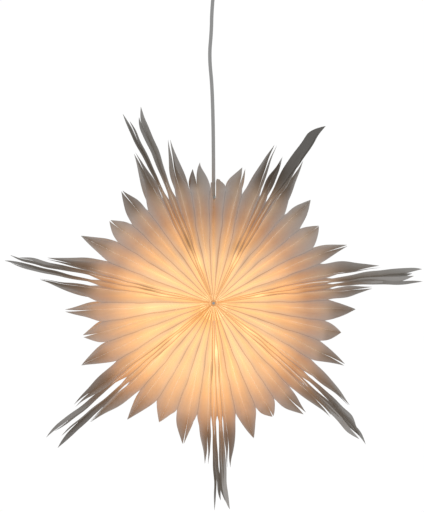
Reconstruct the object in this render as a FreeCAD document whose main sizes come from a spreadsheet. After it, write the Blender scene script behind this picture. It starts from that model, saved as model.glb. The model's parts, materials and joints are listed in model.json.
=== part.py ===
import FreeCAD, Part

import math
import os

import Sketcher

from FreeCAD import Placement, Rotation, Vector

# A folding paper snowflake star lantern that hangs from a ceiling fitting on its lamp cord.
#
# Paper bags stand round one cross axle like the leaves of a fan. Each bag is two leaves joined
# by a front and a rear fold, and neighbouring bags are glued along their middle lines. The bags
# at the top don't meet: the cord comes out between them and small magnets hold them together.
# Inside, a wire yoke hangs from the lamp holder and carries the cross axle on two spools.
#
# The frame is +Z up and -Y towards the viewer. The origin is the centre of the ceiling face.
# A heading is an angle about the cross axle: 0 points along +X and 90 points up.

SIZES = {
    # the star's paper
    "star_drop": 575.0,
    "long_reach": 350.0,
    "blunt_reach": 334.0,
    "middle_reach": 283.0,
    "side_reach": 240.0,
    "low_reach": 219.0,
    "fold_reach": 180.0,
    "bag_half_depth": 80.0,
    "blade_neck_reach": 260.0,
    "blade_neck_half_width": 20.0,
    "blade_end_half_width": 15.0,
    "blade_taper": 25.0,
    "paper_thickness": 0.15,
    "glue_gap": 0.2,
    "core_pitch_degrees": 3.21,
    "axle_room": 6.5,
    "cavity_radius": 78.0,
    "cavity_half_depth": 55.0,
    "cord_room": 0.7,
    "cord_channel": "=cord_diameter / 2 + cord_room",
    # the closure beside the cord
    "magnet_radius": 5.0,
    "magnet_thickness": 3.2,
    "magnet_beside_cord": 12.0,
    "low_magnet_reach": 112.0,
    "high_magnet_reach": 170.0,
    # the ceiling fitting
    "plate_thickness": 1.5,
    "plate_screw_spacing": 60.0,
    "plate_screw_hole_radius": 2.4,
    "wire_inlet_radius": 7.0,
    "wire_inlet_offset": 22.0,
    "ear_drop": 15.0,
    "ear_width": 12.0,
    "ear_thickness": 2.0,
    "cup_radius": 50.0,
    "cup_wall": 1.6,
    "cup_side_height": 28.0,
    "cup_height": 45.0,
    "cup_foot_radius": 20.0,
    "cup_screw_radius": 2.0,
    "cup_screw_drop": 9.0,
    "cup_screw_length": 8.0,
    "cup_screw_head_radius": 3.5,
    "cup_screw_head": 2.2,
    "block_length": 30.0,
    "block_width": 15.0,
    "block_height": 13.0,
    "block_offset": 20.0,
    "block_bore_radius": 1.8,
    "block_bore_spacing": 9.0,
    # the outlet and the cord's swivel in it
    "nipple_wall": 1.9,
    "nipple_radius": "=swivel_radius + easy_fit + nipple_wall",
    "nipple_height": 9.0,
    "nut_radius": "=nipple_radius + 4",
    "nut_height": 5.0,
    "bush_flange_radius": "=nipple_radius + 3.5",
    "bush_flange": 3.0,
    "bush_depth": 13.0,
    "swivel_radius": 6.8,
    "swivel_drop": 52.0,
    "swivel_crown": 4.1,
    "swivel_pin_radius": 1.0,
    "swivel_pin_half_length": "=swivel_radius - 1.2",
    "grip_wall": 0.5,
    "grip_radius": "=cord_diameter / 2 + grip_wall",
    "grip_top": 2.0,
    "grip_bottom": 12.0,
    "cord_diameter": 5.8,
    # the lamp holder, measured up from the star's centre
    "holder_top": 76.0,
    "holder_joint": 54.0,
    "holder_shoulder": 48.0,
    "holder_bottom": 26.0,
    "holder_radius": 14.0,
    "holder_neck_radius": "=holder_radius - 0.9",
    "holder_wall": 1.6,
    "cap_land": 2.1,
    "cap_top_radius": "=cord_diameter / 2 + cap_land",
    "disc_radius": 27.0,
    "disc_thickness": 1.5,
    "ring_radius": "=holder_neck_radius + 5.9",
    "ring_height": 8.0,
    "thread_radius": 7.0,
    "thread_depth": 0.4,
    "thread_pitch": 2.82,
    "shell_wall": 0.3,
    # the bulb
    "globe_radius": 22.5,
    "globe_drop": 8.0,
    "neck_bottom": 12.0,
    "neck_top_radius": 8.5,
    "cap_height": 19.0,
    "insulator_height": 1.2,
    "insulator_radius": 5.0,
    "contact_radius": 2.2,
    "contact_height": 0.6,
    "bulb_wall": 1.2,
    # the yoke and the cross axle
    "wire_radius": 1.0,
    "arm_root": 23.0,
    "arm_elbow_out": 42.0,
    "arm_elbow_up": 36.0,
    "arm_foot_out": 52.0,
    "arm_foot_up": 12.0,
    "axle_end": 79.0,
    "spool_radius": 5.4,
    "spool_inner_end": 57.0,
    "spool_outer_end": 72.0,
    "spool_nose_radius": 2.2,
    "spool_nose_end": 80.5,
    # clearances between the pieces
    "running_fit": 0.05,
    "easy_fit": 0.3,
}

# The seven spikes' headings, which a folded star never spaces quite evenly.
SPIKES = {
    "lower": 271.5,
    "lower_right": 321.3,
    "right": 370.8,
    "upper_right": 423.4,
    "upper_left": 473.2,
    "left": 529.2,
    "lower_left": 580.3,
}
SEAM = 450.0  # straight up, in turns counted from the lower spike
WIDE_BAGS = 4  # between two neighbouring spikes

# How far each kind of leaf's edge bows out from a straight line, as a share of that line.
LEAF_BOW = {"side": 0.05, "low": 0.13, "middle": -0.03}

# The cord's route from the grip to the holder, as (x, share of the way down).
CORD_ROUTE = [
    (-2.9, 0.071),
    (-3.4, 0.149),
    (-7.2, 0.246),
    (-1.8, 0.366),
    (0.4, 0.641),
]

doc = FreeCAD.newDocument("PaperStar")
parts = []


# ---------------------------------------------------------------- the sheet and the helpers


def make_sheet():
    sheet = doc.addObject("Spreadsheet::Sheet", "sizes")
    for row, (alias, value) in enumerate(SIZES.items(), start=1):
        sheet.set(f"A{row}", alias)
        sheet.set(f"B{row}", str(value))
        sheet.setAlias(f"B{row}", alias)
    doc.recompute()
    return sheet


sheet = make_sheet()


def size(alias):
    return float(sheet.get(alias))


def formula(text):
    """An expression in the sheet's aliases, from a formula that names them bare."""
    words = sorted(SIZES, key=len, reverse=True)
    out, i = "", 0
    while i < len(text):
        starts_word = i == 0 or not (text[i - 1].isalnum() or text[i - 1] == "_")
        match = next((w for w in words if starts_word and text.startswith(w, i)), None)
        out += f"sizes.{match}" if match else text[i]
        i += len(match) if match else 1
    return out


def value_of(text):
    """The formula's value on the sheet, through a property that is thrown away."""
    probe = doc.addObject("App::FeaturePython", "probe")
    probe.addProperty("App::PropertyFloat", "Value")
    probe.setExpression("Value", formula(text))
    probe.recompute()
    result = probe.Value
    doc.removeObject(probe.Name)
    return result


def bind(obj, **formulas):
    for name, text in formulas.items():
        obj.setExpression(name.replace("__", "."), formula(text))
    return obj


def place(obj, x="0", y="0", z="0", rotation=None):
    if rotation:
        obj.Placement = Placement(Vector(), rotation)
    return bind(obj, Placement__Base__x=x, Placement__Base__y=y, Placement__Base__z=z)


def keep(obj, label):
    """Takes an object as the finished sub-part of this name."""
    obj.Label = label
    parts.append(obj)
    return obj


def cylinder(radius, height, rotation=None, **position):
    obj = doc.addObject("Part::Cylinder", "Cylinder")
    bind(obj, Radius=radius, Height=height)
    return place(obj, rotation=rotation, **position)


def box(length, width, height, **position):
    obj = doc.addObject("Part::Box", "Box")
    bind(obj, Length=length, Width=width, Height=height)
    return place(obj, **position)


def fused(*shapes):
    obj = doc.addObject("Part::MultiFuse", "Fuse")
    obj.Shapes = list(shapes)
    return obj


def compound(*shapes):
    obj = doc.addObject("Part::Compound", "Group")
    obj.Links = list(shapes)
    return obj


def cut(base, *tools):
    obj = doc.addObject("Part::Cut", "Cut")
    obj.Base = base
    obj.Tool = tools[0] if len(tools) == 1 else fused(*tools)
    return obj


def revolved(label, profile):
    """A body turned about Z from a closed profile of (radius, height) formulas."""
    body = doc.addObject("PartDesign::Body", f"{label}_body")
    sketch = body.newObject("Sketcher::SketchObject", f"{label}_profile")
    plane = next(f for f in body.Origin.OriginFeatures if f.Role == "XZ_Plane")
    sketch.AttachmentSupport = [(plane, "")]
    sketch.MapMode = "FlatFace"
    corners = [Vector(value_of(r), value_of(z), 0) for r, z in profile]
    for i, corner in enumerate(corners):
        sketch.addGeometry(Part.LineSegment(corner, corners[(i + 1) % len(corners)]))
    for i in range(len(corners)):
        ends = (i, 2, (i + 1) % len(corners), 1)
        sketch.addConstraint(Sketcher.Constraint("Coincident", *ends))
    for i, (corner, (r, z)) in enumerate(zip(corners, profile)):
        for kind, value, text in (("X", corner.x, r), ("Y", corner.y, z)):
            limit = Sketcher.Constraint(f"Distance{kind}", -1, 1, i, 1, value)
            index = sketch.addConstraint(limit)
            name = f"corner_{i}_{kind}"
            sketch.renameConstraint(index, name)
            sketch.setExpression(f"Constraints.{name}", formula(text))
    turn = body.newObject("PartDesign::Revolution", f"{label}_turn")
    turn.Profile = sketch
    turn.ReferenceAxis = (sketch, ["V_Axis"])
    turn.Angle = 360
    body.Tip = turn
    return body


def lowered(body, drop="star_drop"):
    """Moves a piece that is drawn about the star's centre down to it."""
    return place(body, z=f"-{drop}")


def unit(start, end):
    return (end - start).normalize()


def rounded_route(points, radius=None):
    """Straight runs joined by tangent arcs: a given radius, or as large as the runs allow."""
    edges, radii, start = [], [], points[0]
    for before, corner, after in zip(points, points[1:], points[2:]):
        into, out = unit(before, corner), unit(corner, after)
        half_turn = into.getAngle(out) / 2
        shorter = min((corner - before).Length, (after - corner).Length)
        reach = radius * math.tan(half_turn) if radius else 0.45 * shorter
        bend = reach / math.tan(half_turn)
        first, last = corner - into * reach, corner + out * reach
        middle = corner + unit(corner, (first + last) * 0.5) * bend * (
            1 / math.cos(half_turn) - 1
        )
        edges += [Part.LineSegment(start, first), Part.Arc(first, middle, last)]
        radii.append(bend)
        start = last
    edges.append(Part.LineSegment(start, points[-1]))
    return Part.Wire([edge.toShape() for edge in edges]), radii


def swept_rod(path, radius):
    """A round rod along a path, with its volume held against its length."""
    first = path.OrderedEdges[0]
    start, heading = first.valueAt(first.FirstParameter), first.tangentAt(first.FirstParameter)
    section = Part.Wire([Part.makeCircle(radius, start, heading)])
    rod = path.makePipeShell([section], True, False)
    expected = math.pi * radius**2 * path.Length
    if abs(rod.Volume - expected) > 0.01 * expected:
        raise RuntimeError(f"a rod has {rod.Volume:.0f} mm3 and should have {expected:.0f}")
    return rod


def shaped(label, shape, placement=Placement()):
    obj = doc.addObject("Part::Feature", label)
    obj.Shape = shape
    obj.Placement = placement
    return keep(obj, label)


# ---------------------------------------------------------------- the paper bags


def leaf_edge(kind, reach):
    """A leaf's upper edge from its fold's end to its tip, where X is outward and Y is deep."""
    fold_end = Vector(size("fold_reach"), size("bag_half_depth"), 0)
    tip = Vector(reach, 0, 0)
    if kind != "long":
        across = Vector(fold_end.y, tip.x - fold_end.x, 0).normalize()
        bow = across * (tip - fold_end).Length * LEAF_BOW[kind]
        return [Part.Arc(fold_end, (fold_end + tip) * 0.5 + bow, tip)]
    neck = Vector(size("blade_neck_reach"), size("blade_neck_half_width"), 0)
    end = Vector(reach - size("blade_taper"), size("blade_end_half_width"), 0)
    # the flare leaves the blade along its edge, so the two meet without a corner
    flare = fold_end + Vector(0.40 * (neck.x - fold_end.x), -0.70 * (fold_end.y - neck.y), 0)
    return [
        Part.Arc(fold_end, flare, neck),
        Part.LineSegment(neck, end),
        Part.LineSegment(end, tip),
    ]


def leaf_prism(kind, reach, side):
    """What a leaf keeps of its sheet: its outline with the bulb's cavity left out."""
    half_depth, room = size("bag_half_depth"), size("axle_room")
    upper = [edge.toShape() for edge in leaf_edge(kind, reach)]
    mirror = FreeCAD.Matrix(1, 0, 0, 0, 0, -1, 0, 0, 0, 0, 1, 0, 0, 0, 0, 1)
    lower = [edge.transformGeometry(mirror) for edge in upper]
    share = math.sqrt(1 - (room / size("cavity_radius")) ** 2)
    mouth = size("cavity_half_depth") * share
    cavity = Part.Ellipse(
        Vector(0, 0, 0), size("cavity_radius"), size("cavity_half_depth")
    )
    swing = math.acos(room / size("cavity_radius"))
    rim = Part.Arc(cavity, -swing, swing).toShape()
    fold_end = size("fold_reach")
    straight = [
        ((fold_end, half_depth), (room, half_depth)),
        ((room, half_depth), (room, mouth)),
        ((room, -mouth), (room, -half_depth)),
        ((room, -half_depth), (fold_end, -half_depth)),
    ]
    lines = [
        Part.makeLine(Vector(*start, 0), Vector(*end, 0)) for start, end in straight
    ]
    loops = Part.sortEdges(upper + lower + lines + [rim])
    outline = Part.Face(Part.Wire(loops[0]))
    return outline.extrude(Vector(0, 0, side * reach))


def folded_tube(sections):
    """A four-sided tube of flat triangles through (outward, half depth, low, high) diamonds."""
    rings = [
        (Vector(x, -d, 0), Vector(x, 0, high), Vector(x, d, 0), Vector(x, 0, -low))
        for x, d, low, high in sections
    ]
    faces = [Part.Face(Part.makePolygon([*ring, ring[0]])) for ring in (rings[0], rings[-1])]
    for inner, outer in zip(rings, rings[1:]):
        for fold in (0, 2):
            for glue in (1, 3):
                corners = (inner[fold], outer[glue])
                for third in (inner[glue], outer[fold]):
                    loop = [corners[0], corners[1], third, corners[0]]
                    faces.append(Part.Face(Part.makePolygon(loop)))
    tube = Part.Solid(Part.makeShell(faces))
    if tube.Volume < 0:
        tube.reverse()
    return tube


def bag(pitch, kinds, seam_side=0):
    """One bag of two leaves, drawn along +X about the cross axle.

    pitch is the angle between its two glue lines, kinds are its leaves' (low, high) kinds,
    and seam_side is -1 or 1 on the bag that leaves the cord room on that side.
    """
    reaches = {
        "long": size("long_reach"),
        "blunt": size("blunt_reach"),
        "middle": size("middle_reach"),
        "side": size("side_reach"),
        "low": size("low_reach"),
    }
    slope, wall = math.tan(math.radians(pitch / 2)), size("paper_thickness")
    half_depth, half_gap = size("bag_half_depth"), size("glue_gap") / 2
    far = max(reaches[kind] for kind in kinds) + 1
    channel_start = size("cavity_radius") - 8

    def half_width(x, side):
        room = size("cord_channel") if side == seam_side and x >= channel_start else half_gap
        return x * slope - room

    def section(x, inset):
        low, high = half_width(x, -1), half_width(x, 1)
        narrow = min(low, high)
        share = inset * math.hypot(narrow, half_depth) / (narrow * half_depth)
        return (x, half_depth * (1 - share), low * (1 - share), high * (1 - share))

    # the corners fill with folded paper towards the axle, so the stations crowd there
    hollow_start = max(size("axle_room"), (2 * wall + half_gap) / slope)
    stops = [hollow_start * 2**doubling for doubling in range(1, 6)]
    stops = [stop for stop in stops if stop < 0.75 * far]
    if seam_side:
        stops = sorted([*stops, channel_start])
    outer = folded_tube([section(x, 0) for x in (size("axle_room"), *stops, far)])
    inner = folded_tube([section(x, wall) for x in (hollow_start, *stops, far + 1)])
    prisms = [
        leaf_prism("long" if kind in ("long", "blunt") else kind, reaches[kind], side)
        for kind, side in zip(kinds, (-1, 1))
    ]
    return outer.cut(inner).common(prisms[0].fuse(prisms[1]))


def at_heading(heading):
    """The placement that turns +X to a heading and sets it at the star's centre."""
    turn = Rotation(Vector(0, 1, 0), -heading)
    return Placement(Vector(0, 0, -size("star_drop")), turn)


def spike_core(name, heading):
    """A spike's three narrow bags, with its long blades in the middle."""
    pitch = size("core_pitch_degrees")
    bags = [("middle", "blunt"), ("blunt", "long"), ("long", "middle")]
    shapes = []
    for step, kinds in enumerate(bags, start=-1):
        shape = bag(pitch, kinds)
        shape.rotate(Vector(0, 0, 0), Vector(0, 1, 0), -step * pitch)
        shapes.append(shape)
    shaped(f"bag_core_{name}", Part.makeCompound(shapes), at_heading(heading))


def wide_bags(name, start, end, kinds, seam_sides):
    """The wide bags that stand evenly between two headings."""
    pitch = (end - start) / len(kinds)
    for i, (pair, seam_side) in enumerate(zip(kinds, seam_sides)):
        heading = start + (i + 0.5) * pitch
        label = f"bag_{name}_{i + 1}"
        shaped(label, bag(pitch, pair, seam_side), at_heading(heading))


def make_paper():
    core_half = 1.5 * size("core_pitch_degrees")
    rising = [("middle", "side"), ("side", "low")]
    falling = [("low", "side"), ("side", "middle")]
    names, headings = list(SPIKES), list(SPIKES.values())
    for i, (name, heading) in enumerate(zip(names, headings)):
        spike_core(name, heading)
        after = headings[i + 1] if i + 1 < len(headings) else headings[0] + 360
        start, end = heading + core_half, after - core_half
        if start < SEAM < end:
            wide_bags(f"{name}_a", start, SEAM, rising, (0, 1))
            wide_bags(f"{name}_b", SEAM, end, falling, (-1, 0))
        else:
            wide_bags(name, start, end, rising + falling, [0] * WIDE_BAGS)


# ---------------------------------------------------------------- the closure at the seam


def make_magnets():
    for label, side in (("seam_magnets_right", 1), ("seam_magnets_left", -1)):
        turn = Rotation(Vector(0, 1, 0), 90 * side)
        discs = [
            cylinder(
                "magnet_radius",
                "magnet_thickness",
                rotation=turn,
                x=f"{side} * glue_gap",
                y=f"{depth} * magnet_beside_cord",
                z=f"{reach} - star_drop",
            )
            for depth in (-1, 1)
            for reach in ("low_magnet_reach", "high_magnet_reach")
        ]
        keep(compound(*discs), label)


# ---------------------------------------------------------------- the ceiling fitting


def make_plate():
    radius = "(cup_radius - cup_wall - 1)"
    disc = cylinder(radius, "plate_thickness", z="-plate_thickness")
    ears = []
    for side in (-1, 1):
        near = f"{radius} - ear_thickness" if side > 0 else f"-{radius}"
        ears.append(
            box(
                "ear_thickness",
                "ear_width",
                "ear_drop",
                x=near,
                y="-ear_width / 2",
                z="-ear_drop",
            )
        )
    across = Rotation(Vector(0, 1, 0), 90)
    tap = cylinder(
        "cup_screw_radius + running_fit",
        "2 * cup_radius",
        rotation=across,
        x="-cup_radius",
        z="-cup_screw_drop",
    )
    holes = [
        cylinder(
            "plate_screw_hole_radius",
            "2 * plate_thickness",
            x=f"{side} * plate_screw_spacing / 2",
            z="-1.5 * plate_thickness",
        )
        for side in (-1, 1)
    ]
    inlet = cylinder(
        "wire_inlet_radius",
        "2 * plate_thickness",
        y="wire_inlet_offset",
        z="-1.5 * plate_thickness",
    )
    keep(cut(fused(disc, *ears), tap, inlet, *holes), "ceiling_plate")


def make_cup():
    inside = "cup_radius - cup_wall"
    hole = "nipple_radius + running_fit"
    profile = [
        (inside, "0"),
        ("cup_radius", "0"),
        ("cup_radius", "-cup_side_height"),
        ("cup_foot_radius", "-cup_height"),
        (hole, "-cup_height"),
        (hole, "cup_wall - cup_height"),
        ("cup_foot_radius - cup_wall / 2", "cup_wall - cup_height"),
        (inside, "cup_wall / 2 - cup_side_height"),
    ]
    across = Rotation(Vector(0, 1, 0), 90)
    holes = cylinder(
        "cup_screw_radius + easy_fit",
        "2.2 * cup_radius",
        rotation=across,
        x="-1.1 * cup_radius",
        z="-cup_screw_drop",
    )
    keep(cut(revolved("ceiling_cup", profile), holes), "ceiling_cup")


def make_cup_screws():
    screws = []
    for side in (-1, 1):
        turn = Rotation(Vector(0, 1, 0), 90 * side)
        head = cylinder(
            "cup_screw_head_radius",
            "cup_screw_head",
            rotation=turn,
            x=f"{side} * (cup_radius + 0.1)",
            z="-cup_screw_drop",
        )
        shank = cylinder(
            "cup_screw_radius",
            "cup_screw_length",
            rotation=turn,
            x=f"{side} * (cup_radius + 0.2 - cup_screw_length)",
            z="-cup_screw_drop",
        )
        screws.append(fused(head, shank))
    keep(compound(*screws), "cup_screws")


def make_terminal_block():
    block = box(
        "block_length",
        "block_width",
        "block_height",
        x="-block_length / 2",
        y="-block_offset - block_width / 2",
        z="-plate_thickness - block_height",
    )
    along = Rotation(Vector(1, 0, 0), 90)
    bores = [
        cylinder(
            "block_bore_radius",
            "2 * block_width",
            rotation=along,
            x=f"{step} * block_bore_spacing",
            y="-block_offset + block_width",
            z="-plate_thickness - block_height / 2",
        )
        for step in (-1, 0, 1)
    ]
    keep(cut(block, *bores), "terminal_block")


def make_outlet():
    nut = doc.addObject("Part::Prism", "Nut")
    nut.Polygon = 6
    bind(nut, Circumradius="nut_radius", Height="nut_height")
    place(nut, z="cup_wall - cup_height")
    bore = cylinder("nipple_radius + running_fit", "3 * nut_height", z="-cup_height")
    keep(cut(nut, bore), "outlet_nut")

    seat = "swivel_radius + easy_fit"
    bottom = "-cup_height - bush_depth"
    profile = [
        (seat, "nipple_height - cup_height"),
        ("nipple_radius", "nipple_height - cup_height"),
        ("nipple_radius", "-cup_height"),
        ("bush_flange_radius", "-cup_height"),
        ("bush_flange_radius", "-cup_height - bush_flange"),
        ("bush_flange_radius - 1.5", bottom),
        ("swivel_radius + 2.2", bottom),
        ("swivel_radius - 0.2", "-swivel_drop - 2.5"),
        (seat, "-swivel_drop"),
    ]
    keep(revolved("outlet_bush", profile), "outlet_bush")


def make_swivel():
    ball = doc.addObject("Part::Sphere", "Ball")
    bind(ball, Radius="swivel_radius")
    place(ball, z="-swivel_drop")
    slot = box(
        "2.2 * swivel_radius",
        "2 * (grip_radius + easy_fit)",
        "1.2 * swivel_radius + swivel_crown",
        x="-1.1 * swivel_radius",
        y="-grip_radius - easy_fit",
        z="-swivel_drop - 1.2 * swivel_radius",
    )
    along = Rotation(Vector(1, 0, 0), 90)
    pin_bore = cylinder(
        "swivel_pin_radius + running_fit",
        "4 * swivel_radius",
        rotation=along,
        y="2 * swivel_radius",
        z="-swivel_drop",
    )
    crown_bore = cylinder("swivel_radius / 3", "2 * swivel_radius", z="-swivel_drop")
    keep(cut(ball, slot, pin_bore, crown_bore), "swivel_ball")

    grip = cylinder("grip_radius", "grip_top + grip_bottom", z="-swivel_drop - grip_bottom")
    pin = cylinder(
        "swivel_pin_radius",
        "2 * swivel_pin_half_length",
        rotation=along,
        y="swivel_pin_half_length",
        z="-swivel_drop",
    )
    keep(fused(grip, pin), "cord_grip")


def make_cord():
    """The cord, which is swept a little too long and cut level at its two ends."""
    top = -size("swivel_drop") - size("grip_bottom")
    bottom = size("holder_top") - size("star_drop")
    between = [Vector(x, 0, top + share * (bottom - top)) for x, share in CORD_ROUTE]
    start, end = Vector(0, 0, top), Vector(0, 0, bottom)
    start += unit(between[0], start)
    end += unit(between[-1], end)
    path, radii = rounded_route([start, *between, end])
    length = path.Length - 2
    print(f"cord: {length:.0f} mm long, bends of", [round(r) for r in radii], "mm")
    rod = swept_rod(path, size("cord_diameter") / 2)
    reach = 10 * size("cord_diameter")
    span = Part.makeBox(2 * reach, 2 * reach, top - bottom, Vector(-reach, -reach, bottom))
    shaped("cord", rod.common(span))


# ---------------------------------------------------------------- the lamp holder and the bulb


def make_holder():
    inner = "holder_radius - holder_wall"
    cap = [
        ("0", "holder_top"),
        ("cap_top_radius", "holder_top"),
        ("holder_radius - 1.5", "holder_top - 8"),
        ("holder_radius", "holder_top - 12"),
        ("holder_radius", "holder_joint"),
        (inner, "holder_joint"),
        (inner, "holder_top - 12"),
        ("holder_radius - holder_wall - 2", "holder_top - 9"),
        ("0", "holder_top - 4"),
    ]
    keep(lowered(revolved("holder_cap", cap)), "holder_cap")

    bore = "holder_neck_radius - holder_wall"
    sleeve = [
        (bore, "holder_joint"),
        ("holder_radius", "holder_joint"),
        ("holder_radius", "holder_shoulder"),
        ("holder_neck_radius", "holder_shoulder"),
        ("holder_neck_radius", "holder_bottom"),
        (bore, "holder_bottom"),
    ]
    keep(lowered(revolved("holder_body", sleeve)), "holder_body")

    socket = "thread_radius + running_fit + shell_wall"
    insert = [
        ("0", "holder_joint - 1"),
        (f"{bore} - running_fit", "holder_joint - 1"),
        (f"{bore} - running_fit", "holder_bottom + 1"),
        (socket, "holder_bottom + 1"),
        (socket, "holder_joint - 5"),
        ("0", "holder_joint - 5"),
    ]
    keep(lowered(revolved("holder_insert", insert)), "holder_insert")

    shell = [
        ("thread_radius + running_fit", "holder_joint - 6"),
        (socket, "holder_joint - 6"),
        (socket, "holder_bottom + 1"),
        ("thread_radius + running_fit", "holder_bottom + 1"),
    ]
    keep(lowered(revolved("thread_shell", shell)), "thread_shell")

    ring_top = "holder_shoulder - disc_thickness - 2 * running_fit - easy_fit"
    ring = [
        ("holder_neck_radius + running_fit", ring_top),
        ("ring_radius - 0.8", ring_top),
        ("ring_radius", f"{ring_top} - 0.8"),
        ("ring_radius", f"{ring_top} - ring_height"),
        ("holder_neck_radius + running_fit", f"{ring_top} - ring_height"),
    ]
    keep(lowered(revolved("shade_ring", ring)), "shade_ring")


def make_bulb():
    """A golf-ball bulb: everything but its end contact turns with the screw thread."""
    cap_bottom = "holder_bottom - 0.4"
    cap_top = f"{cap_bottom} + cap_height"
    crest, root = "thread_radius", "thread_radius - thread_depth"
    bore = f"{root} - shell_wall"
    profile = [("0", cap_top), (root, cap_top)]
    for turn in range(5):
        height = f"{cap_top} - {turn + 0.5} * thread_pitch"
        profile += [(crest, height), (root, f"{height} - thread_pitch / 2")]
    profile += [(root, cap_bottom), (bore, cap_bottom)]
    profile += [(bore, f"{cap_top} - shell_wall"), ("0", f"{cap_top} - shell_wall")]
    keep(lowered(revolved("bulb_screw_cap", profile)), "bulb_screw_cap")

    insulator = [
        ("0", f"{cap_top} + insulator_height"),
        ("contact_radius", f"{cap_top} + insulator_height"),
        ("insulator_radius", cap_top),
        ("0", cap_top),
    ]
    keep(lowered(revolved("bulb_insulator", insulator)), "bulb_insulator")
    contact = cylinder(
        "contact_radius",
        "contact_height",
        z=f"{cap_top} + insulator_height + running_fit - star_drop",
    )
    keep(contact, "bulb_contact")

    mouth = "sqrt(globe_radius^2 - (neck_bottom + globe_drop)^2)"
    neck = [
        (f"{bore} - bulb_wall", cap_bottom),
        ("neck_top_radius", cap_bottom),
        (mouth, "neck_bottom"),
        (f"{mouth} - bulb_wall", "neck_bottom"),
    ]
    keep(lowered(revolved("bulb_neck", neck)), "bulb_neck")
    skins = []
    for inset in ("0", "bulb_wall"):
        skin = doc.addObject("Part::Sphere", "Globe")
        bind(skin, Radius=f"globe_radius - {inset}")
        skins.append(place(skin, z="-globe_drop - star_drop"))
    above = cylinder("globe_radius", "globe_radius", z="neck_bottom - star_drop")
    keep(cut(skins[0], skins[1], above), "bulb_globe")


# ---------------------------------------------------------------- the yoke and the cross axle


def make_yoke():
    disc = cylinder(
        "disc_radius",
        "disc_thickness",
        z="holder_shoulder - running_fit - disc_thickness - star_drop",
    )
    collar = cylinder(
        "holder_neck_radius + 2 * running_fit",
        "4 * disc_thickness",
        z="holder_shoulder - 3 * disc_thickness - star_drop",
    )
    holes = [
        cylinder(
            "wire_radius + running_fit",
            "4 * disc_thickness",
            y=f"{side} * arm_root",
            z="holder_shoulder - 3 * disc_thickness - star_drop",
        )
        for side in (-1, 1)
    ]
    keep(cut(disc, collar, *holes), "hanger_disc")

    drop = size("star_drop")
    arms = []
    for side in (-1, 1):
        route = [
            (size("arm_root"), size("holder_shoulder") + 4),
            (size("arm_root"), size("holder_shoulder") - 6),
            (size("arm_elbow_out"), size("arm_elbow_up")),
            (size("arm_foot_out"), size("arm_foot_up")),
            (size("arm_foot_out"), 0.0),
            (size("axle_end"), 0.0),
        ]
        points = [Vector(0, side * out, up - drop) for out, up in route]
        path, _ = rounded_route(points, radius=3 * size("wire_radius"))
        arms.append(swept_rod(path, size("wire_radius")))
    shaped("yoke_wires", Part.makeCompound(arms))

    for label, side in (("front_spool", -1), ("rear_spool", 1)):
        turn = Rotation(Vector(1, 0, 0), -90 * side)
        barrel = cylinder(
            "spool_radius",
            "spool_outer_end - spool_inner_end",
            rotation=turn,
            y=f"{side} * spool_inner_end",
            z="-star_drop",
        )
        nose = cylinder(
            "spool_nose_radius",
            "spool_nose_end - spool_outer_end",
            rotation=turn,
            y=f"{side} * spool_outer_end",
            z="-star_drop",
        )
        bore = cylinder(
            "wire_radius + running_fit",
            "axle_end + running_fit - spool_inner_end + 2",
            rotation=turn,
            y=f"{side} * (spool_inner_end - 2)",
            z="-star_drop",
        )
        keep(cut(fused(barrel, nose), bore), label)


# ---------------------------------------------------------------- the checks and the files


def check():
    for obj in doc.Objects:
        if {"Invalid", "Error"} & set(obj.State):
            raise RuntimeError(f"{obj.Label} failed: {obj.State}")
    for obj in parts:
        if obj.Shape.isNull() or not obj.Shape.isValid() or not obj.Shape.Solids:
            raise RuntimeError(f"{obj.Label} has no valid solid")


def main():
    make_paper()
    make_magnets()
    make_plate()
    make_cup()
    make_cup_screws()
    make_terminal_block()
    make_outlet()
    make_swivel()
    make_cord()
    make_holder()
    make_bulb()
    make_yoke()
    doc.recompute()
    check()
    os.makedirs("parts", exist_ok=True)
    for obj in parts:
        obj.Shape.exportStep(os.path.join("parts", f"{obj.Label}.step"))
    print(f"{len(parts)} sub-parts written")


main()
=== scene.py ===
"""Looks of a folding paper snowflake star that hangs on its lamp cord, lit from inside.

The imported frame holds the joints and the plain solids. Each paper cell of the frame is
replaced here by two fine leaves that meet in a front and a rear fold, with the unevenness
of paper that was opened by hand, and the hardware keeps its shape and gets its finishes.
"""

from __future__ import annotations

import json
import logging
import math
from dataclasses import dataclass, field, replace
from enum import Enum

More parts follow.
